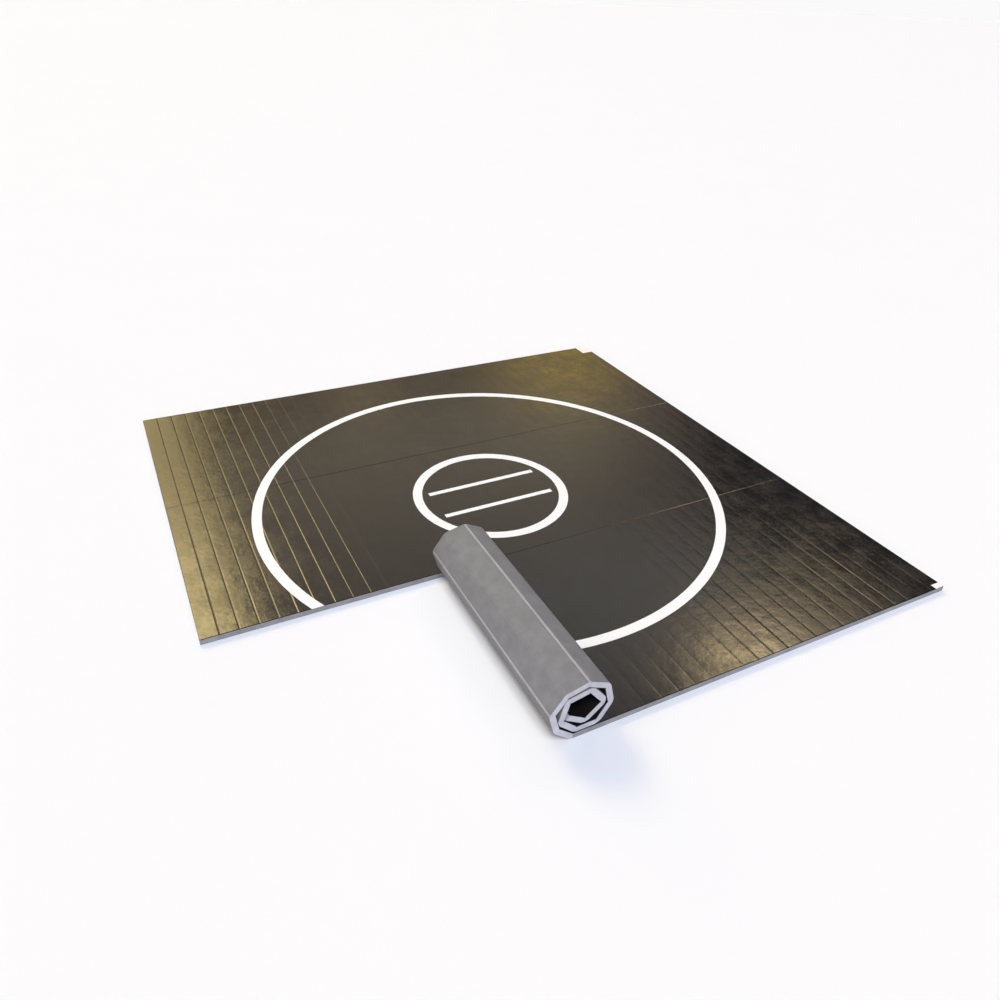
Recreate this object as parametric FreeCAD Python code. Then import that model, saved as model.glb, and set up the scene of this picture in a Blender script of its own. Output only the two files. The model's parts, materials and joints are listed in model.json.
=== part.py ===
"""Roll-out wrestling mat: three hinged-plank strips side by side, one of them part-rolled.

Units are millimetres. +X runs along the strips, +Y across them and +Z up. The origin is on the
floor, under the middle of the square. Every strip is a vinyl skin on foam that is slit from
below into planks, so the skin is the hinge of each plank. The front strip is rolled up from
its -X end, skin inwards, and the rest of the mat lies flat. The bends of the roll leave each
plank of its outer turn free to be laid flat by itself. The first planks at the -X end of the
other two strips are pieces of their own, which can be lifted.
"""

import FreeCAD, Part
import math
import os

# --- driving dimensions -------------------------------------------------------------------
FOOT = 304.8
SIDE = 12 * FOOT                  # the whole mat is square
STRIPS = 3                        # strips laid side by side
PLANKS = 39                       # foam planks in one strip
THICKNESS = 31.75                 # foam and skin together
SKIN = 1.2                        # vinyl skin
SLIT = 0.6                        # width of the cut between two planks
SKIN_RELIEF = 0.15                # skin left out on each side of a free hinge line
SEAM = 1.0                        # gap where two strips meet

ROLL_BENDS = (41.5, 33.0, 51.0, 41.5, 39.5, 49.0, 45.0, 58.5,     # outer turn, degrees
              45.5, 58.5, 66.0, 63.0, 86.0, 75.5)                 # inner turn, degrees
END_PLANKS = 2                    # planks that can be lifted at the -X end of a flat strip

INK = 0.2                         # thickness of a printed line
INK_RELIEF = 0.4                  # ink left out on each side of a free hinge line
OUTER_RING = (4.5 * FOOT, 4.5 * FOOT + 57.15)                     # inside and outside radius
INNER_RING = (424.0, 481.0)
START_LINE = (720.0, 32.0)        # length and width of a starting line
START_SPACING = 254.0             # between the middles of the two starting lines
REAR_PATCH = (91.0, 125.0)        # corner patches, along X and along Y
FRONT_PATCH = (60.0, 36.0)
PATCH = 0.3                       # thickness of a corner patch

# --- worked out from them -----------------------------------------------------------------
HALF = SIDE / 2
PITCH = SIDE / PLANKS             # one plank and one slit
WIDTH = SIDE / STRIPS
FOAM = THICKNESS - SKIN
ROLLED = len(ROLL_BENDS)          # planks in the roll
ROLL_START = -HALF + ROLLED * PITCH      # hinge line between the flat part and the roll
HINGE_AXIS = FreeCAD.Vector(0, 1, 0)

FRONT = (-HALF, -WIDTH / 2 - SEAM / 2)   # low and high Y of each strip
MIDDLE = (-WIDTH / 2 + SEAM / 2, WIDTH / 2 - SEAM / 2)
REAR = (WIDTH / 2 + SEAM / 2, HALF)


def slab(x_span, y_span, z_span):
    """A box between low and high values of X, Y and Z."""
    (x0, x1), (y0, y1), (z0, z1) = x_span, y_span, z_span
    return Part.makeBox(x1 - x0, y1 - y0, z1 - z0, FreeCAD.Vector(x0, y0, z0))


def plank_span(index):
    """Low and high X of plank number index, counted from the -X end of the flat strip."""
    return -HALF + index * PITCH, -HALF + (index + 1) * PITCH


def foam_plank(index, y_span):
    """One foam plank. The slits take half their width from it, but not at the strip's ends."""
    x0, x1 = plank_span(index)
    x0 += SLIT / 2 if index > 0 else 0
    x1 -= SLIT / 2 if index < PLANKS - 1 else 0
    return slab((x0, x1), y_span, (0, FOAM))


def foam_bed(first, y_span):
    """The foam planks of a flat stretch, from plank number first to the +X end."""
    return Part.makeCompound([foam_plank(index, y_span) for index in range(first, PLANKS)])


def skin_bed(first, y_span):
    """The vinyl of a flat stretch, from the free hinge line of plank number first."""
    x_span = (plank_span(first)[0] + SKIN_RELIEF, HALF)
    return slab(x_span, y_span, (FOAM, THICKNESS))


def skin_facet(index, y_span):
    """The vinyl on one plank that bends by itself, relieved at its free hinge lines."""
    x0, x1 = plank_span(index)
    x0 += SKIN_RELIEF if index > 0 else 0
    return slab((x0, x1 - SKIN_RELIEF), y_span, (FOAM, THICKNESS))


def ring(radii):
    """A printed ring, lying on the skin."""
    low, high = radii
    base = FreeCAD.Vector(0, 0, THICKNESS)
    return Part.makeCylinder(high, INK, base).cut(Part.makeCylinder(low, INK, base))


def ring_inside(radii, x_span, y_span):
    """The part of a printed ring that falls on one stretch of a strip."""
    return ring(radii).common(slab(x_span, y_span, (THICKNESS, THICKNESS + INK)))


def trimmed(span, relief):
    """A span with a relief taken off both its ends."""
    return span[0] + relief, span[1] - relief


def ring_crosses(x_span, y_span):
    """Whether the outer ring has any ink on a stretch that lies to the -X, -Y side."""
    return math.hypot(x_span[1], y_span[1]) < OUTER_RING[1]


def roll_places():
    """Where each rolled plank goes: the bends of all the hinges before it, one after another."""
    place = FreeCAD.Placement()
    places = []
    for number, bend in enumerate(ROLL_BENDS):
        hinge_line = FreeCAD.Vector(ROLL_START - number * PITCH, 0, THICKNESS)
        turn = FreeCAD.Rotation(HINGE_AXIS, bend)
        place = place.multiply(FreeCAD.Placement(FreeCAD.Vector(), turn, hinge_line))
        places.append(place)
    return places


def rolled(flat_shape, place):
    """A plank's piece, carried from the flat strip to its place in the roll."""
    return flat_shape.transformed(place.toMatrix(), True)


def end_planks(strip, y_span):
    """The planks at the -X end of a flat strip, numbered outwards from the flat bed."""
    parts = {}
    for number in range(1, END_PLANKS + 1):
        index = END_PLANKS - number
        parts["%s_end_foam_%02d" % (strip, number)] = foam_plank(index, y_span)
        parts["%s_end_vinyl_%02d" % (strip, number)] = skin_facet(index, y_span)
    return parts


def middle_strip():
    """The strip with the inner ring and the starting lines."""
    length, line_width = START_LINE
    parts = {
        "middle_foam_planks": foam_bed(END_PLANKS, MIDDLE),
        "middle_vinyl_skin": skin_bed(END_PLANKS, MIDDLE),
        "middle_ring_lines": ring_inside(OUTER_RING, (-HALF, HALF), MIDDLE),
        "inner_ring_line": ring(INNER_RING),
        **end_planks("middle", MIDDLE),
    }
    for name, y_mid in (("near", -START_SPACING / 2), ("far", START_SPACING / 2)):
        parts["start_line_" + name] = slab(
            (-length / 2, length / 2),
            (y_mid - line_width / 2, y_mid + line_width / 2),
            (THICKNESS, THICKNESS + INK),
        )
    return parts


def rear_strip():
    """The strip on the +Y side."""
    patch_x, patch_y = REAR_PATCH
    return {
        "rear_foam_planks": foam_bed(END_PLANKS, REAR),
        "rear_vinyl_skin": skin_bed(END_PLANKS, REAR),
        "rear_ring_line": ring_inside(OUTER_RING, (-HALF, HALF), REAR),
        "rear_corner_patch": slab(
            (HALF - patch_x, HALF), (HALF - patch_y, HALF), (THICKNESS, THICKNESS + PATCH)
        ),
        **end_planks("rear", REAR),
    }


def front_strip():
    """The flat stretch of the strip on the -Y side, from the roll to the +X end."""
    patch_x, patch_y = FRONT_PATCH
    ink_span = (ROLL_START + INK_RELIEF, HALF)
    return {
        "front_foam_planks": foam_bed(ROLLED, FRONT),
        "front_vinyl_skin": skin_bed(ROLLED, FRONT),
        "front_ring_line": ring_inside(OUTER_RING, ink_span, FRONT),
        "front_corner_patch": slab(
            (HALF - patch_x, HALF), (-HALF, patch_y - HALF), (THICKNESS, THICKNESS + PATCH)
        ),
    }


def roll():
    """The rolled planks, numbered from the flat part to the tip inside the roll."""
    parts = {}
    for number, place in enumerate(roll_places(), start=1):
        index = ROLLED - number
        span = plank_span(index)
        label = "%02d" % number
        parts["roll_foam_" + label] = rolled(foam_plank(index, FRONT), place)
        parts["roll_vinyl_" + label] = rolled(skin_facet(index, FRONT), place)
        ink_span = trimmed(span, INK_RELIEF)
        if ring_crosses(ink_span, FRONT):
            line = ring_inside(OUTER_RING, ink_span, FRONT)
            parts["roll_ring_" + label] = rolled(line, place)
    return parts


def main():
    """Writes every piece to its own file."""
    os.makedirs("parts", exist_ok=True)
    for strip in (middle_strip, rear_strip, front_strip, roll):
        for name, shape in strip().items():
            shape.exportStep("parts/" + name + ".step")
            low, high = shape.BoundBox.ZMin, shape.BoundBox.ZMax
            print("%-20s solids %2d  z %7.2f to %7.2f" % (name, len(shape.Solids), low, high))


main()
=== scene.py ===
"""Looks of a roll-out wrestling mat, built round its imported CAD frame.

Three strips lie side by side. Each is a black vinyl skin on foam that is slit from below into
planks. The front strip is part-rolled from its -X end with the skin inwards. Lengths are metres
in the frame's own axes: +X along the strips, +Y across them, +Z up.
"""

import json
import logging
import math
from dataclasses import dataclass, field
from enum import Enum
from typing import Iterable, Sequence

import bpy
import numpy as np
from mathutils import Matrix, Vector

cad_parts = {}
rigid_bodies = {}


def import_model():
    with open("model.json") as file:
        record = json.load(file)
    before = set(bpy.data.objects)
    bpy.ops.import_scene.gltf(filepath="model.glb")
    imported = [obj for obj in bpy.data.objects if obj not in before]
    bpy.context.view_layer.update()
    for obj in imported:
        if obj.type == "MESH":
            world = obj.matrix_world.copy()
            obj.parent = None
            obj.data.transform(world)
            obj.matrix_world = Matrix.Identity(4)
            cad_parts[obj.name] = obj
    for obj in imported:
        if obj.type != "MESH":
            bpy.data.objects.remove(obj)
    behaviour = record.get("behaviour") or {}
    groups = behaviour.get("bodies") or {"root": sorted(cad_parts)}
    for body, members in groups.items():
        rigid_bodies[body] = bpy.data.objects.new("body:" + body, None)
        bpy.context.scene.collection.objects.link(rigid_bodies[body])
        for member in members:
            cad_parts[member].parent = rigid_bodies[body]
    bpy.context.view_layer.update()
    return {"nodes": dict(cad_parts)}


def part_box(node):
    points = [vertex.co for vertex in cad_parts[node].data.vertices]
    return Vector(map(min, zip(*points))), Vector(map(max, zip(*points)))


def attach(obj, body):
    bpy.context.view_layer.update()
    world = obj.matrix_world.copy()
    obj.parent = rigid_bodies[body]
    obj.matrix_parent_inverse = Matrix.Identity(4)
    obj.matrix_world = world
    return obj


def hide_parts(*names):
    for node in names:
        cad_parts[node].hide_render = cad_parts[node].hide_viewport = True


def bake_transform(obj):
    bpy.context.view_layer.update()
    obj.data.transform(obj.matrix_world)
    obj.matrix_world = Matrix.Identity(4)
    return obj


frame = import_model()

LOG = logging.getLogger("mat")
MM = 0.001

Span = tuple[float, float]
Rgb = tuple[float, float, float]
Shape = tuple[np.ndarray, list[tuple[int, ...]]]                 # points and faces
Tube = tuple[np.ndarray, list[tuple[int, ...]], list[int]]       # the same and material numbers
Socket = bpy.types.NodeSocket


class Slot(Enum):
    """The record's material slots."""

    VINYL = "vinyl"
    FOAM = "foam"
    INK = "line_ink"
    TAPE = "corner_tape"


class Face(Enum):
    """Which material of a foam piece a face takes."""

    MOULDED = 0
    CUT = 1
    # the pale stripe along some ridges of the roll, a painted highlight
    RIDGE = 2


class Hold(Enum):
    LAID = "laid"
    FOLDED = "folded"


# --- sizes read from the frame ---


@dataclass(frozen=True)
class MatSizes:
    """Driving sizes of the mat, most of them measured on the CAD nodes."""

    half: float
    thickness: float
    front: Span
    middle: Span
    rear: Span
    planks: int = 39
    skin: float = 1.2 * MM
    slit: float = 0.6 * MM
    ring_outer: Span = (1371.6 * MM, 1428.75 * MM)
    ring_inner: Span = (424.0 * MM, 481.0 * MM)
    roll_bends: tuple[float, ...] = (41.5, 33.0, 51.0, 41.5, 39.5, 49.0, 45.0, 58.5,
                                     45.5, 58.5, 66.0, 63.0, 86.0, 75.5)

    @property
    def pitch(self) -> float:
        """Width of one plank with its slit."""
        return 2 * self.half / self.planks

    @property
    def rolled(self) -> int:
        """How many planks of the front strip are in the roll."""
        return len(self.roll_bends)

    def line(self, index: int) -> float:
        """X of the hinge line on the -X side of plank number index, laid flat."""
        return -self.half + index * self.pitch

    @classmethod
    def measured(cls) -> "MatSizes":
        """Reads the mat's sizes from the frame.

        Returns:
            The sizes, with the Y span of each strip.
        """
        spans = {}
        for strip in ("front", "middle", "rear"):
            low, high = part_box(f"{strip}_vinyl_skin")
            spans[strip] = (low.y, high.y)
        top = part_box("middle_vinyl_skin")[1]
        return cls(half=top.x, thickness=top.z, **spans)


SIZES = MatSizes.measured()

BEND_REACH = 6 * MM          # the skin turns over this far on each side of a hinge line
INK_HEIGHT = 0.35 * MM       # ink over the skin
TAPE_HEIGHT = 0.45 * MM
LAYER_ROOT = 0.3 * MM        # how deep ink and tape reach into the skin
INK_ROWS = 18                # points across a printed ring
PATCH_MARGIN = 1 * MM        # a patch is this much smaller than its CAD node all round
FLAT_EDGE = 1.6 * MM         # radius of the bottom edges of a flat plank
ROLLED_EDGE = 0.7 * MM       # and of a rolled one
ALONG_FOAM = 80 * MM         # spacing of a foam bar's points along it
WEB_MARGIN = 0.8 * MM        # stretched foam ends this far inside the roll's ends


# --- shape of the surface ---


def smooth(share: np.ndarray) -> np.ndarray:
    """Clips values to 0 to 1 and eases them at both ends."""
    share = np.clip(share, 0, 1)
    return share * share * (3 - 2 * share)


@dataclass(frozen=True)
class Relief:
    """How far the laid skin lies under its nominal top: creases, crowned planks and soft waves."""

    crease_depth: float = 1.35 * MM
    crease_width: float = 2.8 * MM
    crown: float = 0.22 * MM
    tilt: float = 0.30 * MM
    wave: float = 0.50 * MM
    wave_lengths: tuple[float, ...] = (0.83, 0.57, 0.41, 0.31)
    least: float = 0.045             # share of a crease where the skin is hardly worked
    end_reach: Span = (-1.48, 0.90)  # X up to which the -X end is fully worked, and the fade after it
    handled: Span = (0.04, 0.46)     # least and most share on the front strip, which is rolled up

    def plank_tilt(self, index: np.ndarray) -> np.ndarray:
        """A steady lean for each plank, from -1 to 1, that looks irregular."""
        return np.sin(index * 12.9898 + 4.1) * np.cos(index * 3.7 + 1.3)

    def fatigue(self, x: np.ndarray, y: np.ndarray) -> np.ndarray:
        """How hard a crease is pressed: most at the -X end, and some on the front strip's edge.

        Args:
            x: X of the points, laid flat.
            y: Y of the points.

        Returns:
            Shares from 0 to 1.
        """
        end = smooth(1 - (x - self.end_reach[0]) / self.end_reach[1])
        handled = np.clip((x - 0.35) / 0.7, *self.handled) * (1 - np.clip((x - 1.35) / 0.3, 0, 0.85))
        handled = handled * (0.12 + 0.95 * np.clip((-0.85 - y) / 0.75, 0, 1))
        handled = np.where(y < SIZES.front[1] + SIZES.slit, handled, 0.0)
        return np.clip(self.least + end + handled, 0, 1)

    def depth(self, x: np.ndarray, y: np.ndarray, creased: bool = True) -> np.ndarray:
        """Depth of the skin's top under the nominal plane, laid flat.

        Args:
            x: X of the points, laid flat.
            y: Y of the points.
            creased: whether the creases count; ink bridges them.

        Returns:
            Depths in metres, zero or more.
        """
        place = (x + SIZES.half) / SIZES.pitch
        index = np.clip(np.floor(place), 0, SIZES.planks - 1)
        across = 2 * (place - index) - 1
        to_line = (1 - np.abs(across)) * SIZES.pitch / 2
        worked = self.fatigue(x, y)
        strength = worked * (1 + 0.25 * np.sin(index * 2.3 + y * 2.1))
        crease = self.crease_depth * strength * np.exp(-((to_line / self.crease_width) ** 2)) * creased
        crown = self.crown * across**2
        lean = self.tilt * 0.5 * (1 + self.plank_tilt(index) * across) * (1 - across**4) * worked
        waves = np.zeros_like(x)
        for number, length in enumerate(self.wave_lengths):
            turn = 0.9 + 1.7 * number
            along = y * math.cos(turn * 0.3) + x * math.sin(turn)
            waves += 0.5 + 0.5 * np.sin(2 * math.pi / length * along + 2.4 * number)
        return crease + crown + lean + self.wave * waves / len(self.wave_lengths)


RELIEF = Relief()


@dataclass(frozen=True)
class RollPath:
    """Carries points of the flat front strip to their place in the roll."""

    bends: tuple[float, ...]
    hinge_z: float

    def turn(self, points: np.ndarray, line: float, angle: np.ndarray | float) -> None:
        """Turns points round a hinge line, in place.

        Args:
            points: N x 3 points.
            line: X of the hinge line.
            angle: in radians, one for all the points or one for each.
        """
        x, z = points[:, 0] - line, points[:, 2] - self.hinge_z
        points[:, 0] = line + x * np.cos(angle) + z * np.sin(angle)
        points[:, 2] = self.hinge_z - x * np.sin(angle) + z * np.cos(angle)

    def carry_skin(self, points: np.ndarray) -> np.ndarray:
        """Carries skin or ink, which shares each bend over a short stretch.

        Args:
            points: N x 3 points of the flat strip.

        Returns:
            The points in the roll.
        """
        out = points.astype(float).copy()
        for number in reversed(range(len(self.bends))):
            line = SIZES.line(SIZES.rolled - number)
            share = smooth((line - points[:, 0] + BEND_REACH) / (2 * BEND_REACH))
            self.turn(out, line, np.radians(self.bends[number]) * share)
        return out

    def carry_plank(self, points: np.ndarray, number: int) -> np.ndarray:
        """Carries one whole plank without bending it.

        Args:
            points: N x 3 points of the flat strip.
            number: the plank's number in the roll, from 1 beside the flat part.

        Returns:
            The points in the roll.
        """
        out = points.astype(float).copy()
        for hinge in reversed(range(number)):
            self.turn(out, SIZES.line(SIZES.rolled - hinge), math.radians(self.bends[hinge]))
        return out


ROLL = RollPath(SIZES.roll_bends, SIZES.thickness)


# --- meshes ---


def steps(low: float, high: float, longest: float) -> np.ndarray:
    """Evenly spaced values from low to high, no further apart than longest."""
    return np.linspace(low, high, max(2, math.ceil((high - low) / longest) + 1))


def skin_columns(low: float, high: float) -> np.ndarray:
    """X values across a stretch of planks, close together at the creases.

    Args:
        low: lowest X, laid flat.
        high: highest X.

    Returns:
        Increasing X values that include low and high.
    """
    beside = np.array([1.8, 3.4, 5, 7, 10, 14, 20, 28, 38]) * MM
    offsets = np.concatenate([-beside[::-1], [0], beside])
    lines = [SIZES.line(index) for index in range(SIZES.planks + 1)]
    values = np.unique(np.concatenate([line + offsets for line in lines] + [[low, high]]))
    inside = values[(values > low + 0.6 * MM) & (values < high - 0.6 * MM)]
    return np.concatenate([[low], inside, [high]])


def mesh_object(
    name: str, points: np.ndarray, faces: Sequence[Sequence[int]], sharp: float = 50.0
) -> bpy.types.Object:
    """Makes a smooth-shaded mesh object with its sharp edges kept.

    Args:
        name: the piece's name.
        points: N x 3 vertices.
        faces: vertex numbers of each face.
        sharp: edges that turn by more than this many degrees stay sharp.

    Returns:
        The object, linked to the scene.
    """
    mesh = bpy.data.meshes.new(name)
    mesh.from_pydata([tuple(p) for p in points], [], [tuple(f) for f in faces])
    mesh.polygons.foreach_set("use_smooth", [True] * len(mesh.polygons))
    mesh.set_sharp_from_angle(angle=math.radians(sharp))
    mesh.validate()
    made = bpy.data.objects.new(name, mesh)
    bpy.context.scene.collection.objects.link(made)
    return made


def shell(top: np.ndarray, bottom: np.ndarray) -> Shape:
    """A closed thin shell between two grids of points of the same shape.

    Args:
        top: rows x columns x 3 points, columns along +X when rows run along +Y.
        bottom: the grid under it.

    Returns:
        Points and faces.
    """
    rows, columns = top.shape[:2]
    count = rows * columns
    number = np.arange(count).reshape(rows, columns)
    quads = [number[:-1, :-1], number[:-1, 1:], number[1:, 1:], number[1:, :-1]]
    faces = [tuple(q) for q in np.stack(quads, -1).reshape(-1, 4)]
    faces += [tuple(q) for q in np.stack(quads[::-1], -1).reshape(-1, 4) + count]
    rim = np.concatenate([number[0, :], number[1:, -1], number[-1, -2::-1], number[-2:0:-1, 0]])
    following = np.roll(rim, -1)
    faces += [tuple(q) for q in np.stack([following, rim, rim + count, following + count], -1)]
    return np.concatenate([top.reshape(-1, 3), bottom.reshape(-1, 3)]), faces


def join_shapes(shapes: Iterable[Shape]) -> Shape:
    """Puts several shapes into one.

    Args:
        shapes: their points and faces.

    Returns:
        All the points and faces.
    """
    points, faces, count = [], [], 0
    for part_points, part_faces in shapes:
        points.append(part_points)
        faces += [tuple(i + count for i in face) for face in part_faces]
        count += len(part_points)
    return np.concatenate(points), faces


def tube(rings: Sequence[np.ndarray], sides: Sequence[Face], flipped: bool = False) -> Tube:
    """A closed tube through rings of points, with a cut face at each end.

    Args:
        rings: the rings, one after another along +Y.
        sides: the material of each side round a ring.
        flipped: whether the rings run the other way round.

    Returns:
        Points, faces and material numbers.
    """
    around = len(sides)
    count = (len(rings) - 1) * around
    faces: list[tuple[int, ...]] = []
    for start in range(0, count, around):
        for side in range(around):
            a, b = start + side, start + (side + 1) % around
            c, d = b + around, a + around
            faces.append((a, d, c, b) if flipped else (a, b, c, d))
    first, last = tuple(range(around)), tuple(range(count, count + around))
    faces += [first, last[::-1]] if flipped else [first[::-1], last]
    kinds = [side.value for side in sides] * (len(rings) - 1) + [Face.CUT.value] * 2
    return np.concatenate(rings), faces, kinds


def skin_shape(x_span: Span, y_span: Span) -> Shape:
    """The vinyl over a stretch of flat planks, with its edges turned down a little.

    Args:
        x_span: low and high X, laid flat.
        y_span: low and high Y.

    Returns:
        Points and faces of a closed thin shell.
    """
    margin, turn_down, turn_width = 8 * MM, 0.6 * MM, 1.4 * MM
    edge = np.array([0, 0.8, 2.2, 5.0]) * MM
    ys = steps(y_span[0] + margin, y_span[1] - margin, 30 * MM)
    ys = np.concatenate([y_span[0] + edge, ys, (y_span[1] - edge)[::-1]])
    x, y = np.meshgrid(skin_columns(*x_span), ys)
    from_edge = np.minimum(y - y_span[0], y_span[1] - y)
    turned = turn_down * np.exp(-((from_edge / turn_width) ** 2))
    z = SIZES.thickness - RELIEF.depth(x, y) - turned
    return shell(np.stack([x, y, z], -1), np.stack([x, y, z - SIZES.skin], -1))


@dataclass(frozen=True)
class FoamBar:
    """One foam plank, laid flat, with softened edges and its top lying under the skin."""

    index: int                    # plank number from the -X end of the flat strip
    y_span: Span
    edge: float                   # radius of the long edges at the bottom
    moulded_edge: bool            # whether those edges have the moulded face's finish
    pull: float = 0.8 * MM        # how far the two ends are rounded in
    swell: float = 0.35 * MM      # how far the underside rises and falls
    droop: float = 0.5 * MM       # how far the top's long edges fall
    clearance: float = 0.02 * MM  # under the skin

    @property
    def x_span(self) -> Span:
        """Low and high X: the slits take half their width, but not at the strip's ends."""
        low = SIZES.line(self.index) + (SIZES.slit / 2 if self.index > 0 else 0)
        high = SIZES.line(self.index + 1) - (SIZES.slit / 2 if self.index < SIZES.planks - 1 else 0)
        return low, high

    def under(self) -> np.ndarray:
        """The outline of the sides and underside, from -X to +X.

        Returns:
            Points of X and Z.
        """
        low, high = self.x_span
        turns = np.radians([0, 22.5, 45, 67.5, 90])
        bend = np.stack([self.edge * (1 - np.sin(turns)), self.edge * (1 - np.cos(turns))], -1)
        flat = np.linspace(low + self.edge, high - self.edge, 7)[1:-1]
        left, right = (low, 0) + bend, (high, 0) + bend * (-1, 1)
        return np.concatenate([left[::-1], np.stack([flat, np.zeros(5)], -1), right])

    def ring(self, y: float, pulled: float) -> np.ndarray:
        """The outline all round at one place along the plank.

        Args:
            y: where it is.
            pulled: how far it is drawn in.

        Returns:
            Points, first those of the underside and then those of the top.
        """
        low, high = self.x_span
        x, z = self.under().T
        z = z + pulled + self.swell * (0.5 + 0.5 * math.sin(y * 9.0 + self.index))
        x = x + np.where(x < (low + high) / 2, pulled, -pulled)
        over = skin_columns(low, high)[::-1]
        from_edge = np.minimum(over - low, high - over)
        fallen = self.droop * np.exp(-((from_edge / (2 * MM)) ** 2)) + self.clearance
        top = SIZES.thickness - SIZES.skin - RELIEF.depth(over, np.full_like(over, y)) - fallen
        xs, zs = np.concatenate([x, over]), np.concatenate([z, top])
        return np.stack([xs, np.full_like(xs, y), zs], -1)

    def shape(self) -> Tube:
        """Makes the plank.

        Returns:
            Points, faces and material numbers.
        """
        low, high = self.y_span
        inset = 1.5 * MM
        ys = np.concatenate([[low], steps(low + inset, high - inset, ALONG_FOAM), [high]])
        ends = (0, len(ys) - 1)
        rings = [self.ring(y, self.pull if row in ends else 0.0) for row, y in enumerate(ys)]
        below = len(self.under())
        above = len(rings[0]) - below - 1
        bend = 0 if self.moulded_edge else 4
        base = [Face.CUT] * bend + [Face.MOULDED] * (below - 1 - 2 * bend) + [Face.CUT] * bend
        return tube(rings, [*base, Face.CUT, *[Face.MOULDED] * above, Face.CUT])


def ring_shape(radii: Span, start: Span, end: Span) -> Shape:
    """A printed arc on the flat skin.

    Args:
        radii: inside and outside radius.
        start: angle in radians where the arc begins, at the inside and outside radius.
        end: angle where it ends, at the inside and outside radius.

    Returns:
        Points and faces of a closed thin shell.
    """
    length = abs(end[1] - start[1]) * radii[1]
    along = np.linspace(0, 1, max(3, math.ceil(length / (4.5 * MM)) + 1))
    s, t = np.meshgrid(along, np.linspace(0, 1, INK_ROWS))
    first = start[0] + (start[1] - start[0]) * t
    last = end[0] + (end[1] - end[0]) * t
    angle = first + (last - first) * s
    radius = radii[0] + (radii[1] - radii[0]) * t
    return ink_shell(radius * np.cos(angle), radius * np.sin(angle))


def ink_shell(x: np.ndarray, y: np.ndarray, height: float = INK_HEIGHT) -> Shape:
    """A thin layer on the flat skin over a grid of places.

    Args:
        x: grid of X values.
        y: grid of Y values.
        height: of the layer over the skin.

    Returns:
        Points and faces of a closed thin shell.
    """
    skin = SIZES.thickness - RELIEF.depth(x, y, creased=False)
    top = np.stack([x, y, skin + height], -1)
    bottom = np.stack([x, y, skin - LAYER_ROOT], -1)
    a, b, c = top[0, 0], top[0, 1], top[1, 0]
    if (b - a)[0] * (c - a)[1] - (b - a)[1] * (c - a)[0] < 0:
        top, bottom = top[:, ::-1], bottom[:, ::-1]
    return shell(top, bottom)


def flat_rectangle(x_span: Span, y_span: Span, height: float = INK_HEIGHT) -> Shape:
    """A rectangular layer on the flat skin."""
    x, y = np.meshgrid(skin_columns(*x_span), steps(*y_span, 9 * MM))
    return ink_shell(x, y, height)


def ring_end(y: float, left: bool = False) -> Span:
    """Angles where the inside and outside of the outer ring reach Y, on the +X or the -X side."""
    inner, outer = (math.asin(y / radius) for radius in SIZES.ring_outer)
    return (math.pi - inner, math.pi - outer) if left else (inner, outer)


def front_arc(x_span: Span) -> Shape:
    """The outer ring's ink on the front strip between two X values, cut square at both.

    Args:
        x_span: low and high X, laid flat.

    Returns:
        Points and faces of a closed thin shell.
    """
    inner, outer = SIZES.ring_outer
    edge = SIZES.front[1]
    reach = math.sqrt(outer**2 - edge**2)
    low, high = max(x_span[0], -reach), min(x_span[1], reach)
    xs = np.unique(np.concatenate([skin_columns(low, high), steps(low, high, 6 * MM)]))
    rows = []
    for share in np.linspace(0, 1, INK_ROWS):
        radius = outer + (inner - outer) * share
        y = -np.sqrt(np.maximum(radius**2 - xs**2, 0))
        rows.append(np.minimum(y, edge - 0.02 * MM * (1 - share)))
    return ink_shell(np.repeat(xs[None, :], len(rows), 0), np.array(rows))


# --- shader groups ---

BAND_INPUTS = ("Value", "From Min", "From Max", "To Min", "To Max")
MIX_INPUTS = ("Factor", 6, 7)      # 6 and 7 are a Mix node's two colours
MIX_COLOUR = 2                     # and its colour output


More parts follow.
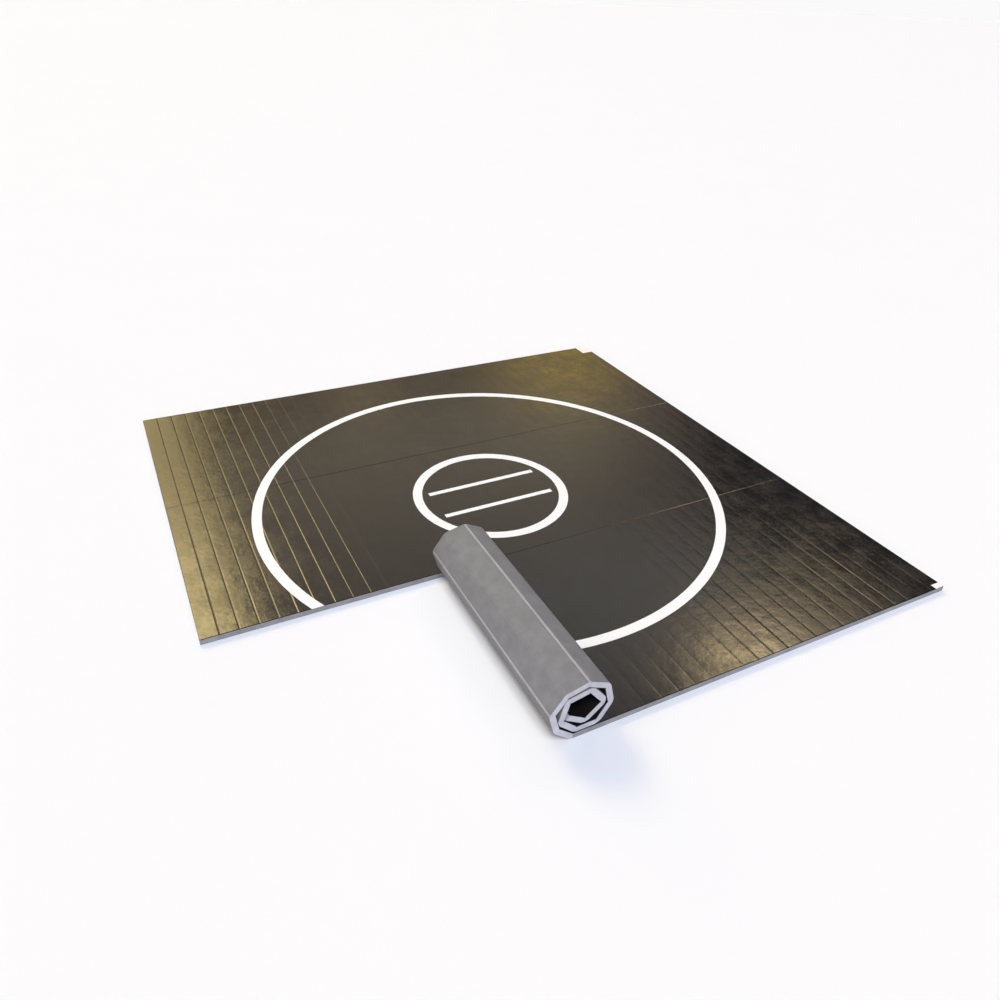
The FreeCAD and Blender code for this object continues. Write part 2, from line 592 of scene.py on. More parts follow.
@dataclass
class Wiring:
    """A small helper that adds and links nodes of one node tree."""

    tree: bpy.types.NodeTree

    def feed(self, socket: Socket, value: object) -> None:
        """Links an input to a socket, or sets its value.

        Args:
            socket: the input.
            value: a socket or a value.
        """
        if isinstance(value, Socket):
            self.tree.links.new(value, socket)
        else:
            socket.default_value = value

    def add(self, kind: str, inputs: dict[int | str, object], **settings: object) -> bpy.types.Node:
        """Adds a node.

        Args:
            kind: Blender's name of the node type.
            inputs: a socket or a value for each input that isn't left alone.
            settings: its properties by name.

        Returns:
            The node.
        """
        node = self.tree.nodes.new(kind)
        for name, value in settings.items():
            setattr(node, name, value)
        for name, value in inputs.items():
            self.feed(node.inputs[name], value)
        return node

    def group(self, tree: bpy.types.NodeTree, **values: object) -> dict[str, Socket]:
        """A shared group, placed in a material.

        Args:
            tree: the group.
            values: a socket or a number by input name, with underscores for spaces.

        Returns:
            Its outputs by name.
        """
        node = self.add("ShaderNodeGroup", {}, node_tree=tree)
        for label, value in values.items():
            self.feed(node.inputs[label.replace("_", " ")], value)
        return {s.name: s for s in node.outputs}

    def maths(self, operation: str, first: object, second: object, clamp: bool = False) -> Socket:
        """A Math node's result, kept from 0 to 1 if clamped."""
        settings = {"operation": operation, "use_clamp": clamp}
        return self.add("ShaderNodeMath", {0: first, 1: second}, **settings).outputs[0]

    def vector(self, operation: str, first: object, second: object) -> Socket:
        """A Vector Math node's result; the second input of a SCALE is its factor."""
        inputs = {0: first, "Scale" if operation == "SCALE" else 1: second}
        return self.add("ShaderNodeVectorMath", inputs, operation=operation).outputs["Vector"]

    def noise(self, vector: Socket, scale: object, detail: float, roughness: float) -> Socket:
        """A noise texture's value."""
        inputs = {"Vector": vector, "Scale": scale, "Detail": detail, "Roughness": roughness}
        return self.add("ShaderNodeTexNoise", inputs).outputs["Fac"]

    def cells(self, vector: Socket, scale: Socket, feature: str) -> Socket:
        """A Voronoi texture's distance."""
        inputs = {"Vector": vector, "Scale": scale}
        return self.add("ShaderNodeTexVoronoi", inputs, feature=feature).outputs["Distance"]

    def band(self, value: Socket, ends: Span, results: Sequence[object] = (0.0, 1.0)) -> Socket:
        """Maps a value smoothly from the ends of a band to two results."""
        inputs = dict(zip(BAND_INPUTS, (value, *ends, *results)))
        return self.add("ShaderNodeMapRange", inputs, interpolation_type="SMOOTHSTEP").outputs[0]

    def mix(self, share: object, first: object, second: object) -> Socket:
        """A colour between two colours, by the second one's share."""
        a, b = (c if isinstance(c, Socket) else (*c, 1) for c in (first, second))
        inputs = dict(zip(MIX_INPUTS, (share, a, b)))
        return self.add("ShaderNodeMix", inputs, data_type="RGBA").outputs[MIX_COLOUR]

    def bump(self, height: Socket, distance: float, strength: float) -> Socket:
        """A normal from a height."""
        inputs = {"Height": height, "Distance": distance, "Strength": strength}
        return self.add("ShaderNodeBump", inputs).outputs["Normal"]


def new_group(
    name: str, inputs: dict[str, float | None], outputs: Sequence[str]
) -> tuple[Wiring, dict[str, Socket], dict[str, Socket]]:
    """Makes an empty shader group.

    Args:
        name: the group's name.
        inputs: the number that each input starts with, or None for a vector.
        outputs: the outputs' names.

    Returns:
        Its wiring, its inputs as seen inside, and its outputs as seen inside.
    """
    tree = bpy.data.node_groups.new(name, "ShaderNodeTree")
    for label, default in inputs.items():
        kind = "NodeSocketVector" if default is None else "NodeSocketFloat"
        made = tree.interface.new_socket(label, in_out="INPUT", socket_type=kind)
        if default is not None:
            made.default_value = default
    for label in outputs:
        tree.interface.new_socket(label, in_out="OUTPUT", socket_type="NodeSocketFloat")
    entry, leave = tree.nodes.new("NodeGroupInput"), tree.nodes.new("NodeGroupOutput")
    return Wiring(tree), {s.name: s for s in entry.outputs}, {s.name: s for s in leave.inputs}


def build_grain_group() -> bpy.types.NodeTree:
    """Embossed leather-like grain with soft creasing, as a height, and a mottle for the gloss.

    Returns:
        The group.
    """
    inputs = {"Place": None, "Pebble scale": 380.0, "Crumple scale": 26.0}
    inputs |= {"Crumple share": 0.6, "Swell share": 0.0}
    wiring, inside, out = new_group("Embossed grain", inputs, ("Height", "Mottle"))
    place = inside["Place"]
    pebbles = wiring.cells(place, inside["Pebble scale"], "SMOOTH_F1")
    crumple = wiring.noise(place, inside["Crumple scale"], 4.0, 0.6)
    swell = wiring.noise(place, 13.0, 2.5, 0.6)
    height = wiring.maths("MULTIPLY", crumple, inside["Crumple share"])
    height = wiring.maths("ADD", height, wiring.maths("MULTIPLY", swell, inside["Swell share"]))
    height = wiring.maths("ADD", height, wiring.maths("MULTIPLY", pebbles, 0.05))
    wiring.feed(out["Height"], height)
    broad = wiring.maths("MULTIPLY", wiring.noise(place, 7.0, 2.0, 0.5), 0.5)
    mottle = wiring.maths("ADD", wiring.maths("MULTIPLY", crumple, 0.5), broad)
    wiring.feed(out["Mottle"], mottle)
    return wiring.tree


def build_wear_group() -> bpy.types.NodeTree:
    """Scuffs and dust as masks: fine streaks across the strips and soft cloudy patches.

    Returns:
        The group.
    """
    inputs = {"Place": None, "Amount": 0.5}
    wiring, inside, out = new_group("Scuffs and dust", inputs, ("Scuff", "Dust"))
    stretch = {"Vector": inside["Place"], "Scale": (60.0, 5.0, 60.0), "Rotation": (0.0, 0.0, 0.35)}
    painted_highlight = wiring.add("ShaderNodeMapping", stretch).outputs["Vector"]
    streaks = wiring.noise(painted_highlight, 1.6, 5.0, 0.7)
    patch = wiring.band(wiring.noise(inside["Place"], 3.1, 4.0, 0.6), (0.42, 0.7))
    fine = wiring.maths("MULTIPLY", wiring.band(streaks, (0.56, 0.78)), patch)
    for label, mask in (("Scuff", fine), ("Dust", patch)):
        wiring.feed(out[label], wiring.maths("MULTIPLY", mask, inside["Amount"], clamp=True))
    return wiring.tree


def build_cell_group() -> bpy.types.NodeTree:
    """Closed-cell foam: pin-hole cells as a height and a soft blotch as a mask.

    Returns:
        The group.
    """
    inputs = {"Place": None, "Cell scale": 700.0}
    wiring, inside, out = new_group("Foam cells", inputs, ("Height", "Blotch"))
    cells = wiring.cells(inside["Place"], inside["Cell scale"], "F1")
    lumps = wiring.noise(inside["Place"], 45.0, 3.0, 0.6)
    wiring.feed(out["Height"], wiring.maths("ADD", wiring.maths("MULTIPLY", cells, 0.5), lumps))
    broad = wiring.noise(inside["Place"], 14.0, 5.0, 0.65)
    wiring.feed(out["Blotch"], wiring.band(broad, (0.3, 0.72)))
    return wiring.tree


@dataclass
class Groups:
    """The shader groups that the finishes share."""

    grain: bpy.types.NodeTree = field(default_factory=build_grain_group)
    wear: bpy.types.NodeTree = field(default_factory=build_wear_group)
    cells: bpy.types.NodeTree = field(default_factory=build_cell_group)


def start_material(name: str) -> tuple[bpy.types.Material, Wiring, bpy.types.Node, Socket]:
    """Makes a material with a Principled shader.

    Args:
        name: the material's name.

    Returns:
        The material, its wiring, its Principled node and the place on the piece.
    """
    material = bpy.data.materials.new(name)
    material.use_nodes = True
    wiring = Wiring(material.node_tree)
    shader = next(n for n in material.node_tree.nodes if n.type == "BSDF_PRINCIPLED")
    place = wiring.add("ShaderNodeTexCoord", {}).outputs["Object"]
    return material, wiring, shader, place


def dress(wiring: Wiring, shader: bpy.types.Node, **values: object) -> None:
    """Feeds a shader's inputs.

    Args:
        wiring: the material's wiring.
        shader: its Principled node.
        values: sockets or numbers by input name, with underscores for spaces.
    """
    for label, value in values.items():
        wiring.feed(shader.inputs[label.replace("_", " ")], value)


# --- finishes ---

MOTTLE = (0.35, 0.65)        # the range of the mottle over which gloss changes


@dataclass(frozen=True)
class VinylFinish:
    """Black semi-gloss vinyl with an embossed grain."""

    dark: Rgb = (0.0115, 0.0112, 0.0118)
    pale: Rgb = (0.024, 0.023, 0.022)
    gloss: float = 0.12
    dull: float = 0.23

    def build(self, groups: Groups) -> bpy.types.Material:
        """Makes the material.

        Args:
            groups: the shared shader groups.

        Returns:
            The material.
        """
        material, wiring, shader, place = start_material("Black vinyl")
        shares = {"Crumple_share": 0.8, "Swell_share": 3.2}
        grain = wiring.group(groups.grain, Place=place, Crumple_scale=48.0, **shares)
        wear = wiring.group(groups.wear, Place=place, Amount=0.5)
        colour = wiring.mix(wear["Scuff"], self.dark, self.pale)
        rough = wiring.band(grain["Mottle"], MOTTLE, (self.gloss, self.dull))
        rough = wiring.maths("ADD", rough, wiring.maths("MULTIPLY", wear["Scuff"], 0.15))
        normal = wiring.bump(grain["Height"], 0.9 * MM, 0.34)
        dress(wiring, shader, Base_Color=colour, Roughness=rough, Normal=normal)
        shader.inputs["Specular IOR Level"].default_value = 0.5
        return material


@dataclass(frozen=True)
class FoamFinish:
    """Closed-cell foam: its moulded face, a cut face, or a pale stripe of painted highlight along some
    ridges of the roll.
    """

    name: str
    shade: Rgb
    light: Rgb
    cell_scale: float = 330.0
    depth: float = 0.8 * MM
    soiling: float = 0.72        # how dark dust makes the shade
    rubbing: float = 1.3         # how pale scuffs make the light

    def build(self, groups: Groups) -> bpy.types.Material:
        """Makes the material.

        Args:
            groups: the shared shader groups.

        Returns:
            The material.
        """
        material, wiring, shader, place = start_material(self.name)
        cells = wiring.group(groups.cells, Place=place, Cell_scale=self.cell_scale)
        wear = wiring.group(groups.wear, Place=place, Amount=0.6)
        colour = wiring.mix(cells["Blotch"], self.shade, self.light)
        dust = wiring.maths("MULTIPLY", wear["Dust"], 0.3)
        colour = wiring.mix(dust, colour, [c * self.soiling for c in self.shade])
        rubbed = wiring.maths("MULTIPLY", wear["Scuff"], 0.6)
        colour = wiring.mix(rubbed, colour, [c * self.rubbing for c in self.light])
        rough = wiring.band(cells["Blotch"], (0.0, 1.0), (0.62, 0.8))
        normal = wiring.bump(cells["Height"], self.depth, 0.8)
        dress(wiring, shader, Base_Color=colour, Roughness=rough, Normal=normal)
        shader.inputs["Specular IOR Level"].default_value = 0.3
        return material


@dataclass(frozen=True)
class InkFinish:
    """White printed line or tape, worn a little by shoes."""

    name: str
    clean: Rgb = (0.88, 0.90, 0.95)
    worn: Rgb = (0.66, 0.67, 0.69)
    gloss: float = 0.36

    def build(self, groups: Groups) -> bpy.types.Material:
        """Makes the material.

        Args:
            groups: the shared shader groups.

        Returns:
            The material.
        """
        material, wiring, shader, place = start_material(self.name)
        grain = wiring.group(groups.grain, Place=place, Crumple_share=0.5)
        wear = wiring.group(groups.wear, Place=place, Amount=0.7)
        colour = wiring.mix(wear["Scuff"], self.clean, self.worn)
        rough = wiring.band(grain["Mottle"], MOTTLE, (self.gloss, self.gloss + 0.15))
        normal = wiring.bump(grain["Height"], 0.5 * MM, 0.4)
        dress(wiring, shader, Base_Color=colour, Roughness=rough, Normal=normal)
        return material


@dataclass
class Finishes:
    """Every material of the mat."""

    vinyl: bpy.types.Material
    foam: bpy.types.Material
    cut: bpy.types.Material
    edge: bpy.types.Material
    ridge: bpy.types.Material
    ink: bpy.types.Material
    tape: bpy.types.Material

    @classmethod
    def build(cls) -> "Finishes":
        """Makes the shared groups and the materials.

        Returns:
            The materials.
        """
        looks = {
            "vinyl": VinylFinish(),
            "foam": FoamFinish(
                "Foam face", (0.180, 0.186, 0.206), (0.226, 0.230, 0.248), 700.0, 0.5 * MM
            ),
            "cut": FoamFinish("Foam cut", (0.44, 0.45, 0.53), (0.60, 0.61, 0.70)),
            "edge": FoamFinish("Foam strip edge", (0.25, 0.25, 0.275), (0.33, 0.33, 0.355)),
            # painted highlight: a pale foam colour for the stripe along some ridges of the roll
            "ridge": FoamFinish(
                "Foam stretched", (0.36, 0.365, 0.39), (0.44, 0.44, 0.46), 420.0, 0.5 * MM
            ),
            "ink": InkFinish("Line ink"),
            "tape": InkFinish("Corner tape", (0.86, 0.86, 0.84), (0.7, 0.69, 0.66), 0.45),
        }
        groups = Groups()
        return cls(**{use: look.build(groups) for use, look in looks.items()})


# --- pieces ---


@dataclass
class PlankRun:
    """A run of planks on one CAD body, with its skin and the ink on it."""

    finishes: Finishes
    body: str
    y_span: Span
    first: int
    last: int
    parent: str = ""       # the body on its +X side, where that hinge is free
    number: int = 0        # number of its first plank in the roll, or 0 where it lies flat

    def place(self, points: np.ndarray) -> np.ndarray:
        """Carries flat points of the skin or ink to where this run lies."""
        return ROLL.carry_skin(points) if self.number else points

    @property
    def skin_span(self) -> Span:
        """X span of the skin, laid flat: a hinged run takes the bend on its +X side with it."""
        low = SIZES.line(self.first) + (BEND_REACH if self.first > 0 else 0)
        return low, SIZES.line(self.last + 1) + (BEND_REACH if self.parent else 0)

    def hinge_point(self, offset: float) -> Vector:
        """A point on the skin beside the hinge line on the +X side, at rest.

        Args:
            offset: how far towards +X from the line.

        Returns:
            The point.
        """
        x = SIZES.line(self.last + 1) + offset
        flat = np.array([[x, sum(self.y_span) / 2, SIZES.thickness]])
        return Vector(self.place(flat)[0])

    def ride(self, piece: bpy.types.Object) -> None:
        """Makes skin or ink follow the body where the run has no hinge; with a hinge, the piece keeps
        its place and follows no body.

        Args:
            piece: the skin or ink.
        """
        if self.parent:
            near, far = self.hinge_point(BEND_REACH), self.hinge_point(-BEND_REACH)
            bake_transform(piece)
        else:
            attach(piece, self.body)

    def build_foam(self, name: str, planks: Sequence[int], node: str) -> bpy.types.Object:
        """Makes a foam piece.

        Args:
            name: the piece's name.
            planks: numbers of its planks, from the -X end of the flat strip.
            node: the CAD node that it stands for.

        Returns:
            The piece.
        """
        edge = ROLLED_EDGE if self.number else FLAT_EDGE
        shapes, kinds = [], []
        for index in planks:
            bar = FoamBar(index, self.y_span, edge, moulded_edge=self.number > 0)
            points, faces, bar_kinds = bar.shape()
            if self.number:
                points = ROLL.carry_plank(points, SIZES.rolled - index)
            shapes.append((points, faces))
            kinds += bar_kinds
        piece = mesh_object(name, *join_shapes(shapes), sharp=35.0)
        piece.data.materials.append(self.finishes.foam)
        piece.data.materials.append(self.finishes.cut if self.number else self.finishes.edge)
        piece.data.polygons.foreach_set("material_index", kinds)
        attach(piece, self.body)
        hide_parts(node)
        LOG.info("%s: %d planks", name, len(planks))
        return piece

    def build_skin(self, name: str, nodes: Sequence[str]) -> None:
        """Makes the vinyl of this run.

        Args:
            name: the piece's name.
            nodes: the CAD nodes that it stands for.
        """
        low, high = self.skin_span
        points, faces = skin_shape((low, high), self.y_span)
        piece = mesh_object(name, self.place(points), faces)
        piece.data.materials.append(self.finishes.vinyl)
        self.ride(piece)
        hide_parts(*nodes)
        LOG.info("%s: skin %.3f m long", name, high - low)

    def build_ink(
        self, name: str, shapes: Sequence[Shape], nodes: Sequence[str], slot: Slot = Slot.INK
    ) -> None:
        """Makes a printed or taped piece on this run's skin.

        Args:
            name: the piece's name.
            shapes: flat shapes of the layer.
            nodes: the CAD nodes that it stands for.
            slot: its material slot.
        """
        points, faces = join_shapes(shapes)
        piece = mesh_object(name, self.place(points), faces)
        piece.data.materials.append(getattr(self.finishes, "tape" if slot is Slot.TAPE else "ink"))
        self.ride(piece)
        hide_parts(*nodes)
        LOG.info("%s: ink", name)

    def build_patch(self, strip: str) -> None:
        """Sticks the strip's corner patch on.

        Args:
            strip: the strip's name.
        """
        node = f"{strip}_corner_patch"
        low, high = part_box(node)
        x_span = (low.x + PATCH_MARGIN, high.x - PATCH_MARGIN)
        y_span = (low.y + PATCH_MARGIN, high.y - PATCH_MARGIN)
        shape = flat_rectangle(x_span, y_span, TAPE_HEIGHT)
        self.build_ink(f"{strip.capitalize()}_Corner_Patch", [shape], [node], Slot.TAPE)


@dataclass
class FlatStrip:
    """A strip that lies flat, with two planks at its -X end that can be lifted."""

    name: str
    y_span: Span
    finishes: Finishes
    first: int = 2         # the bed's first plank

    def build(self) -> PlankRun:
        """Makes the strip's foam and skin.

        Returns:
            The flat bed, which carries the ink.
        """
        title = self.name.capitalize()
        last = SIZES.planks - 1
        bed = PlankRun(self.finishes, f"{self.name}_strip", self.y_span, self.first, last)
        planks = range(self.first, SIZES.planks)
        foam = bed.build_foam(f"{title}_Foam_Bed", planks, f"{self.name}_foam_planks")
        bed.build_skin(f"{title}_Skin", [f"{self.name}_vinyl_skin"])
        for number in range(1, self.first + 1):
            self.build_end(title, number)
        return bed

    def build_end(self, title: str, number: int) -> None:
        """Makes one of the planks that can be lifted.

        Args:
            title: how the pieces' names begin.
            number: 1 beside the bed, 2 at the end.
        """
        index = self.first - number
        parent = f"{self.name}_strip" if number == 1 else f"{self.name}_end_plank_01"
        body = f"{self.name}_end_plank_{number:02d}"
        run = PlankRun(self.finishes, body, self.y_span, index, index, parent)
        foam = run.build_foam(
            f"{title}_End_Foam_{number}", [index], f"{self.name}_end_foam_{number:02d}"
        )
        skin_node = f"{self.name}_end_vinyl_{number:02d}"
        run.build_skin(f"{title}_End_Skin_{number}", [skin_node])


@dataclass
class MiddleStrip(FlatStrip):
    """The middle strip with the inner ring and the starting lines."""

    def dress(self, bed: PlankRun) -> None:
        """Prints the rings and starting lines.

        Args:
            bed: the strip's flat bed.
        """
        low, high = self.y_span
        right = ring_shape(SIZES.ring_outer, ring_end(low), ring_end(high))
        left = ring_shape(SIZES.ring_outer, ring_end(high, True), ring_end(low, True))
        bed.build_ink("Middle_Outer_Ring", [right, left], ["middle_ring_lines"])
        whole = ring_shape(SIZES.ring_inner, (0.0, 0.0), (2 * math.pi, 2 * math.pi))
        bed.build_ink("Inner_Ring", [whole], ["inner_ring_line"])
        for side in ("near", "far"):
            node = f"start_line_{side}"
            corner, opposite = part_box(node)
            shape = flat_rectangle((corner.x, opposite.x), (corner.y, opposite.y))
            bed.build_ink(f"Start_Line_{side.capitalize()}", [shape], [node])


@dataclass
class RearStrip(FlatStrip):
    """The strip on the +Y side, with a corner patch."""

    def dress(self, bed: PlankRun) -> None:
        """Prints the ring and sticks the patch.

        Args:
            bed: the strip's flat bed.
        """
        low = self.y_span[0]
        arc = ring_shape(SIZES.ring_outer, ring_end(low), ring_end(low, True))
        bed.build_ink("Rear_Outer_Ring", [arc], ["rear_ring_line"])
        bed.build_patch("rear")


@dataclass(frozen=True)
class FoamWeb:
    """The foam that stretches round the outside of one bend of the roll."""

    number: int
    painted_highlight: bool                # whether the middle of the outside takes the painted highlight
    ridge: Span = (0.26, 0.74)     # the share of the outside that takes the painted highlight
    shoulder: float = 0.17         # where the outside rises beside a plank, as a share of it
    bulge: float = 0.55            # how far the outside swells from a straight chord to an arc
    top_gap: float = 2 * MM        # between its top and the skin
    base: float = 1 * MM           # its outside starts this far in from a plank's face

    def faces_of_slit(self) -> tuple[np.ndarray, np.ndarray]:
        """Points down both faces of the opened slit, from the skin to the outside.

        Returns:
            Those on the plank before the bend and on the one after it.
        """
        line = SIZES.line(SIZES.rolled - self.number + 1)
        top = SIZES.thickness - SIZES.skin - self.top_gap
        near, far = (
            np.array([[x, 0.0, z] for z in (top, SIZES.thickness / 2, self.base)])
            for x in (line + SIZES.slit / 2, line - SIZES.slit / 2)
        )
        return ROLL.carry_plank(near, self.number - 1), ROLL.carry_plank(far, self.number)

    def shape(self) -> Tube:
        """Makes the web.

        Returns:
            Points, faces and material numbers.
        """
        near, far = self.faces_of_slit()
        line = np.array([[SIZES.line(SIZES.rolled - self.number + 1), 0, SIZES.thickness]])
        hinge = ROLL.carry_plank(line, self.number)[0]
        a, b = near[-1] - hinge, far[-1] - hinge
        radius = np.linalg.norm(a)
        outside = []
        for share in (self.shoulder, self.ridge[0], 0.5, self.ridge[1], 1 - self.shoulder):
            chord = a + (b - a) * share
            length = np.linalg.norm(chord)
            outside.append(hinge + chord * (1 + self.bulge * (radius - length) / length))
        outline = np.array([*near, *outside, *far[::-1]])
        ys = steps(SIZES.front[0] + WEB_MARGIN, SIZES.front[1] - WEB_MARGIN, ALONG_FOAM)
        # the middle faces of the outside take the painted highlight
        middle = Face.RIDGE if self.painted_highlight else Face.MOULDED
        curve = [Face.MOULDED] * 2 + [middle] * 2 + [Face.MOULDED] * 2
        sides = [Face.CUT] * 2 + curve + [Face.CUT] * 3
        return tube([outline + (0, y, 0) for y in ys], sides, flipped=True)

    def corners(self) -> tuple[Vector, Vector]:
        """The outside corners of the two planks that it joins."""
        near, far = self.faces_of_slit()
        return Vector(near[-1]), Vector(far[-1])


@dataclass
class FrontStrip:
    """The part-rolled strip: a flat bed and the roll."""

    finishes: Finishes
    free: int = 4      # planks of the roll that are bodies of their own

    @property
    def bodies(self) -> list[str]:
        """The body of the bed and of each plank of the roll."""
        planks = [f"roll_plank_{number:02d}" for number in range(1, self.free + 1)]
        return ["front_strip", *planks, *["roll_core"] * (SIZES.rolled - self.free)]

    def build_bed(self) -> None:
        """Makes the part that lies flat."""
        first, last = SIZES.rolled, SIZES.planks - 1
        bed = PlankRun(self.finishes, self.bodies[0], SIZES.front, first, last)
        planks = range(first, SIZES.planks)
        foam = bed.build_foam("Front_Foam_Bed", planks, "front_foam_planks")
        bed.build_skin("Front_Skin", ["front_vinyl_skin"])
        bed.build_ink("Front_Outer_Ring", [front_arc(bed.skin_span)], ["front_ring_line"])
        bed.build_patch("front")

    def build_roll(self) -> None:
        """Makes the rolled planks, their skin and the ink inside the roll."""
        for number in range(1, self.free + 2):
            core = number > self.free
            last = SIZES.rolled - number
            first = 0 if core else last
            parent, body = self.bodies[number - 1], self.bodies[number]
            run = PlankRun(self.finishes, body, SIZES.front, first, last, parent, number)
            numbers = range(number, SIZES.rolled + 1) if core else [number]
            for each in numbers:
                name, node = f"Roll_Foam_{each:02d}_Plank", f"roll_foam_{each:02d}"
                run.build_foam(name, [SIZES.rolled - each], node).name
            label = "Core" if core else f"{number:02d}"
            run.build_skin(f"Roll_Skin_{label}", [f"roll_vinyl_{n:02d}" for n in numbers])
            rings = [f"roll_ring_{n:02d}" for n in numbers]
            rings = [node for node in rings if node in frame["nodes"]]
            run.build_ink(f"Roll_Outer_Ring_{label}", [front_arc(run.skin_span)], rings)

    def build_webs(self) -> None:
        """Makes the foam that stretches round the outside of each bend."""
        for number in range(1, SIZES.rolled + 1):
            # every other web gets the painted highlight along the middle of its outside
            web = FoamWeb(number, painted_highlight=number % 2 == 1)
            points, faces, kinds = web.shape()
            piece = mesh_object(f"Roll_Foam_Web_{number:02d}", points, faces)
            # the third material is the painted highlight
            for material in (self.finishes.foam, self.finishes.cut, self.finishes.ridge):
                piece.data.materials.append(material)
            piece.data.polygons.foreach_set("material_index", kinds)
            before, after = self.bodies[number - 1], self.bodies[number]
            if before == after:
                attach(piece, after)
            else:
                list(web.corners())
                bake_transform(piece)
            LOG.info("%s: stretched foam", piece.name)


# --- the room ---


@dataclass(frozen=True)
class Glow:
    """A soft oval light in the room, laid out by where the mat mirrors it to the camera."""

    place: Span            # X and Y on the mat of the middle of its mirror image
    size: Span             # how far the image reaches along X and along Y
    colour: Rgb
    core: float = 0.2      # share of the reach that is at full strength


@dataclass
class Studio:
    """Floor, lights and camera. A band is the range over which one light passes into another."""

    azimuth: float = -28.124
    elevation: float = 33.076
    roll: float = 2.389
    lens: float = 27.82
    sensor: float = 36.0
    distance: float = 4.73584
    target: tuple[float, float, float] = (0.01359, -0.10109, 0.03175)
    floor_reach: float = 900.0
    floor_drop: float = 0.4 * MM
    sight: float = 3000.0
    floor_colours: tuple[Rgb, Rgb] = ((0.835, 0.865, 0.925), (0.85, 0.88, 0.94))
    wall: Rgb = (0.78, 0.66, 0.53)
    rear_wall: Rgb = (0.42, 0.31, 0.16)
    rear_band: Span = (1.0, 1.6)             # along Y of the mirror image
    side_wall: Rgb = (0.46, 0.34, 0.27)
    side_band: Span = (0.42, 0.56)           # along X of the direction
    dark_wall: Rgb = (0.0, 0.0, 0.01)
    dark_band: Span = (0.598, 0.63)
    window_low: Rgb = (2.6, 2.05, 0.90)
    window_high: Rgb = (11.5, 9.1, 4.2)
    window_bands: tuple[Span, Span, Span] = ((0.088, 0.018), (-0.40, -0.20), (0.3, 0.5))
    window_rise: Span = (0.47, 0.68)         # along Z of the direction, as are the next two
    ceiling: Rgb = (0.14, 0.17, 0.34)
    ceiling_band: Span = (0.70, 0.80)
    horizon: Rgb = (0.50, 0.50, 0.52)
    horizon_band: Span = (0.12, 0.26)
    backdrop: Rgb = (0.955, 0.955, 0.955)
    key_colour: Rgb = (0.88, 0.94, 1.0)
    key_strength: float = 2.15
    key_source: tuple[float, float, float] = (-0.21, -0.47, 0.86)
    key_spread: float = 24.0
    glows: tuple[Glow, ...] = (
        Glow((0.10, 0.80), (1.9, 1.6), (1.02, 0.88, 0.66), core=0.4),
        Glow((0.20, -1.20), (1.2, 0.95), (0.98, 0.95, 0.88)),
        Glow((-0.30, 1.60), (0.38, 0.80), (1.25, 0.95, 0.55)),
        Glow((1.45, 1.65), (0.80, 1.10), (2.20, 1.55, 0.30)),
        Glow((0.82, -1.80), (0.66, 0.50), (1.75, 1.50, 1.25)),
        Glow((0.44, -2.02), (0.42, 0.58), (13.0, 10.0, 5.6)),
    )

    def eye(self) -> Vector:
        """Where the camera is.

        Returns:
            The place.
        """
        a, e = math.radians(self.azimuth), math.radians(self.elevation)
        back = Vector((math.sin(a) * math.cos(e), -math.cos(a) * math.cos(e), math.sin(e)))
        return Vector(self.target) + back * self.distance

    def build_camera(self) -> None:
        """Places the camera."""
        eye = self.eye()
        forward = (Vector(self.target) - eye).normalized()
        right = forward.cross(Vector((0, 0, 1))).normalized()
        up = right.cross(forward)
        r = math.radians(self.roll)
        x = right * math.cos(r) + up * math.sin(r)
        y = up * math.cos(r) - right * math.sin(r)
        data = bpy.data.cameras.new("Camera")
        data.lens = self.lens
        data.sensor_width = self.sensor
        data.clip_end = self.sight
        camera = bpy.data.objects.new("Camera", data)
        camera.matrix_world = Matrix((x, y, -forward)).transposed().to_4x4()
        camera.location = eye
        bpy.context.scene.collection.objects.link(camera)
        bpy.context.scene.camera = camera

    def build_floor(self) -> None:
        """Lays the pale floor."""
        material, wiring, shader, place = start_material("Floor paint")
        colour = wiring.mix(wiring.noise(place, 0.8, 3.0, 0.5), *self.floor_colours)
        dress(wiring, shader, Base_Color=colour, Roughness=0.9, Specular_IOR_Level=0.1)
        corners = np.array([(-1, -1, 0), (1, -1, 0), (1, 1, 0), (-1, 1, 0)]) * self.floor_reach
        floor = mesh_object("Floor", corners - (0, 0, self.floor_drop), [(0, 1, 2, 3)])
        floor.data.materials.append(material)

    def build_key(self) -> None:
        """Adds a far, soft key light."""
        data = bpy.data.lights.new("Key", "SUN")
        data.energy = self.key_strength
        data.color = self.key_colour
        data.angle = math.radians(self.key_spread)
        lamp = bpy.data.objects.new("Key", data)
        source = Vector(self.key_source)
        lamp.rotation_mode = "QUATERNION"
        lamp.rotation_quaternion = (-source).to_track_quat("-Z", "Y")
        lamp.location = source * 4
        bpy.context.scene.collection.objects.link(lamp)

    def mirror_place(self, wiring: Wiring, ray: Socket, up: Socket) -> Socket:
        """Where on the mat the camera sees each direction of the room mirrored.

        Args:
            wiring: the world's wiring.
            ray: the direction.
            up: its Z.

        Returns:
            The place as a vector, in metres, with a Z that means nothing.
        """
        eye = self.eye()
        reach = wiring.maths("DIVIDE", eye.z - SIZES.thickness, up)
        return wiring.vector("ADD", wiring.vector("SCALE", ray, reach), (eye.x, eye.y, 0))

    def add_glow(self, wiring: Wiring, room: Socket, place: Socket, glow: Glow) -> Socket:
        """Adds one glow to the room's colour.

        Args:
            wiring: the world's wiring.
            room: the colour so far.
            place: the mirror place of each direction.
            glow: the glow.

        Returns:
            The colour with the glow.
        """
        offset = wiring.vector("SUBTRACT", place, (*glow.place, 0))
        scaled = wiring.vector("MULTIPLY", offset, (1 / glow.size[0], 1 / glow.size[1], 0))
        length = wiring.add("ShaderNodeVectorMath", {0: scaled}, operation="LENGTH").outputs["Value"]
        return wiring.mix(wiring.band(length, (1.0, glow.core)), room, glow.colour)

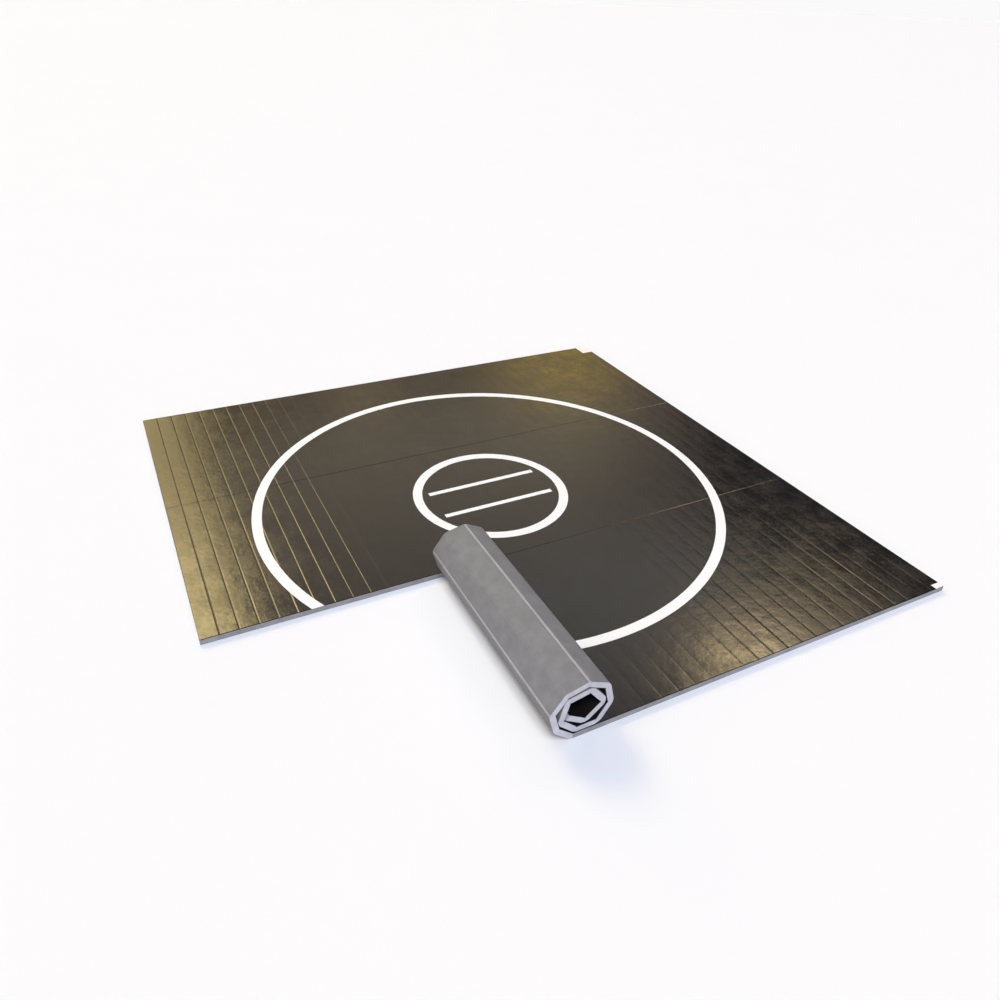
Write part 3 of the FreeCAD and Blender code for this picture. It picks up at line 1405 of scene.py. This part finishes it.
    def build_room(self) -> None:
        """Lights the room: pale all round, dim where the skin mirrors it, with warm lights."""
        world = bpy.data.worlds.new("Room")
        bpy.context.scene.world = world
        world.use_nodes = True
        wiring = Wiring(world.node_tree)
        sky = next(n for n in world.node_tree.nodes if n.type == "BACKGROUND")
        ray = wiring.add("ShaderNodeTexCoord", {}).outputs["Generated"]
        x, y, z = wiring.add("ShaderNodeSeparateXYZ", {0: ray}).outputs
        place = self.mirror_place(wiring, ray, z)
        mirrored_y = wiring.add("ShaderNodeSeparateXYZ", {0: place}).outputs["Y"]
        room = wiring.mix(wiring.band(x, self.side_band), self.wall, self.side_wall)
        room = self.add_glow(wiring, room, place, self.glows[0])
        room = wiring.mix(wiring.band(mirrored_y, self.rear_band), room, self.rear_wall)
        room = wiring.mix(wiring.band(x, self.dark_band), room, self.dark_wall)
        for glow in self.glows[1:]:
            room = self.add_glow(wiring, room, place, glow)
        right, left, front = (
            wiring.band(axis, ends) for axis, ends in zip((x, x, y), self.window_bands)
        )
        window = wiring.maths("MULTIPLY", wiring.maths("MULTIPLY", right, left), front)
        panes = wiring.mix(wiring.band(z, self.window_rise), self.window_low, self.window_high)
        room = wiring.mix(window, room, panes)
        room = wiring.mix(wiring.band(z, self.ceiling_band), room, self.ceiling)
        room = wiring.mix(wiring.band(z, self.horizon_band), self.horizon, room)
        seen = wiring.add("ShaderNodeLightPath", {}).outputs["Is Camera Ray"]
        wiring.feed(sky.inputs["Color"], wiring.mix(seen, room, self.backdrop))


def main() -> None:
    """Builds every piece in order, then the room."""
    logging.basicConfig(level=logging.INFO, format="%(name)s %(message)s")
    bpy.context.scene.view_settings.view_transform = "Standard"
    studio = Studio()
    studio.build_camera()
    finishes = Finishes.build()
    middle = MiddleStrip("middle", SIZES.middle, finishes)
    middle.dress(middle.build())
    rear = RearStrip("rear", SIZES.rear, finishes)
    rear.dress(rear.build())
    front = FrontStrip(finishes)
    front.build_bed()
    front.build_roll()
    front.build_webs()
    studio.build_floor()
    studio.build_room()
    studio.build_key()


if __name__ == "__main__":
    main()
